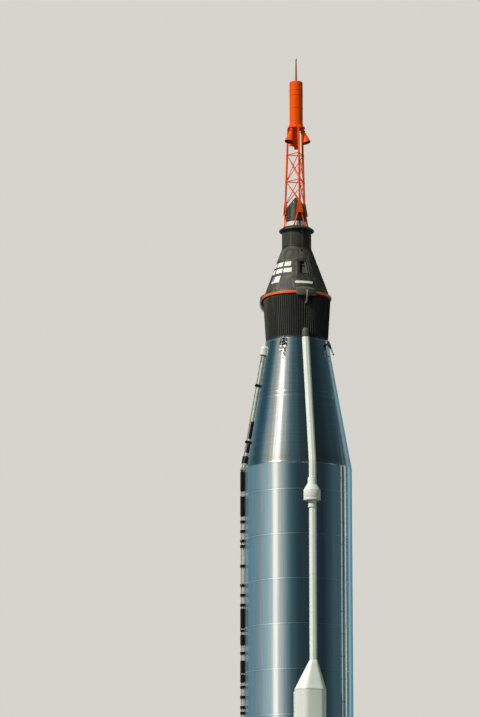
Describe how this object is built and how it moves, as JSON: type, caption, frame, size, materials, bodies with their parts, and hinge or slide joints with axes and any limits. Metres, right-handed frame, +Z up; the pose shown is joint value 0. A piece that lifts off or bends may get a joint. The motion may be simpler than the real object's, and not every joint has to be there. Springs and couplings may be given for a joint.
{
  "type": "space rocket",
  "caption": "Tall rocket with a conical crew capsule, lattice escape tower, ribbed adapter, polished steel tank and a base with swivelling engines.",
  "frame": {"origin": "on the rocket's axis, in the plane of the undersides of the four hold-down pads", "axes": "+Z up along the rocket, -Y towards the front with the white cable raceway, +X to the right"},
  "size_m": [4.88, 3.788, 28.892],
  "materials": {
    "polished_steel": "polished stainless sheet with ring welds",
    "dark_steel": "dull dark steel",
    "nozzle_metal": "heat-stained tube-wall nozzle",
    "black_panel": "matt charcoal black",
    "orange_paint": "satin orange-red",
    "white_paint": "satin white",
    "grey_paint": "satin grey",
    "window_glass": "dark clear glass",
    "couch_cloth": "coarse woven cloth"
  },
  "bodies": {
    "airframe": {"oxidizer_tank": "polished_steel", "fuel_tank": "polished_steel", "skirt_front": "polished_steel", "skirt_rear": "polished_steel", "nacelle_right": "polished_steel", "nacelle_left": "polished_steel", "mating_ring": "dark_steel", "adapter": "black_panel", "adapter_blister": "black_panel", "cabin_shell": "black_panel", "cabin_window": "window_glass", "heat_shield": "dark_steel", "recovery_section": "black_panel", "pilot_couch": "couch_cloth", "instrument_panel": "grey_paint", "clamp_ring": "orange_paint", "clamp_fairing_1": "black_panel", "clamp_fairing_2": "black_panel", "clamp_fairing_3": "black_panel", "tower_flange": "black_panel", "antenna_insulator": "white_paint", "antenna_fairing": "black_panel", "escape_tower": "orange_paint", "motor_collar": "orange_paint", "escape_motor": "orange_paint", "aerospike": "orange_paint", "jettison_motor": "orange_paint", "escape_nozzle_1": "orange_paint", "escape_nozzle_2": "orange_paint", "escape_nozzle_3": "orange_paint", "raceway_upper": "white_paint", "raceway_lower": "white_paint", "gyro_housing": "white_paint", "equipment_pod_front": "white_paint", "equipment_pod_rear": "white_paint", "vent_cap": "white_paint", "vent_tubes": "dark_steel", "pressure_line": "grey_paint", "instrument_conduit_1": "grey_paint", "instrument_conduit_2": "grey_paint", "thrust_frame": "dark_steel", "thrust_cone": "dark_steel", "base_heat_shield": "grey_paint", "vernier_housing_right": "white_paint", "vernier_housing_left": "white_paint"},
    "side_hatch": {"side_hatch": "black_panel"},
    "booster_gimbal_right": {"booster_gimbal_right": "dark_steel"},
    "booster_engine_right": {"booster_engine_right": "nozzle_metal"},
    "booster_gimbal_left": {"booster_gimbal_left": "dark_steel"},
    "booster_engine_left": {"booster_engine_left": "nozzle_metal"},
    "sustainer_gimbal": {"sustainer_gimbal": "dark_steel"},
    "sustainer_engine": {"sustainer_engine": "nozzle_metal"},
    "vernier_yoke_right": {"vernier_yoke_right": "dark_steel"},
    "vernier_engine_right": {"vernier_engine_right": "nozzle_metal"},
    "vernier_yoke_left": {"vernier_yoke_left": "dark_steel"},
    "vernier_engine_left": {"vernier_engine_left": "nozzle_metal"}
  },
  "joints": [
    {"name": "hatch_lift_off", "type": "slide", "parent": "airframe", "child": "side_hatch", "axis": [0.7198, -0.604, 0.342], "range_m": [0, 0.4]},
    {"name": "booster_right_pitch", "type": "hinge", "parent": "airframe", "child": "booster_gimbal_right", "pos_m": [1.68, 0, 1.489], "axis": [0, 1, 0], "range_deg": [-5, 5]},
    {"name": "booster_right_yaw", "type": "hinge", "parent": "booster_gimbal_right", "child": "booster_engine_right", "pos_m": [1.68, 0, 1.489], "axis": [1, 0, 0], "range_deg": [-5, 5]},
    {"name": "booster_left_pitch", "type": "hinge", "parent": "airframe", "child": "booster_gimbal_left", "pos_m": [-1.68, 0, 1.489], "axis": [0, 1, 0], "range_deg": [-5, 5]},
    {"name": "booster_left_yaw", "type": "hinge", "parent": "booster_gimbal_left", "child": "booster_engine_left", "pos_m": [-1.68, 0, 1.489], "axis": [1, 0, 0], "range_deg": [-5, 5]},
    {"name": "sustainer_pitch", "type": "hinge", "parent": "airframe", "child": "sustainer_gimbal", "pos_m": [0, 0, 1.46], "axis": [0, 1, 0], "range_deg": [-3, 3]},
    {"name": "sustainer_yaw", "type": "hinge", "parent": "sustainer_gimbal", "child": "sustainer_engine", "pos_m": [0, 0, 1.46], "axis": [1, 0, 0], "range_deg": [-3, 3]},
    {"name": "vernier_right_swing", "type": "hinge", "parent": "airframe", "child": "vernier_yoke_right", "pos_m": [1.76, 0, 3.8], "axis": [1, 0, 0], "range_deg": [-70, 70]},
    {"name": "vernier_right_tilt", "type": "hinge", "parent": "vernier_yoke_right", "child": "vernier_engine_right", "pos_m": [1.76, 0, 3.8], "axis": [0, 1, 0], "range_deg": [-15, 25]},
    {"name": "vernier_left_swing", "type": "hinge", "parent": "airframe", "child": "vernier_yoke_left", "pos_m": [-1.76, 0, 3.8], "axis": [-1, 0, 0], "range_deg": [-70, 70]},
    {"name": "vernier_left_tilt", "type": "hinge", "parent": "vernier_yoke_left", "child": "vernier_engine_left", "pos_m": [-1.76, 0, 3.8], "axis": [0, -1, 0], "range_deg": [-15, 25]}
  ]
}
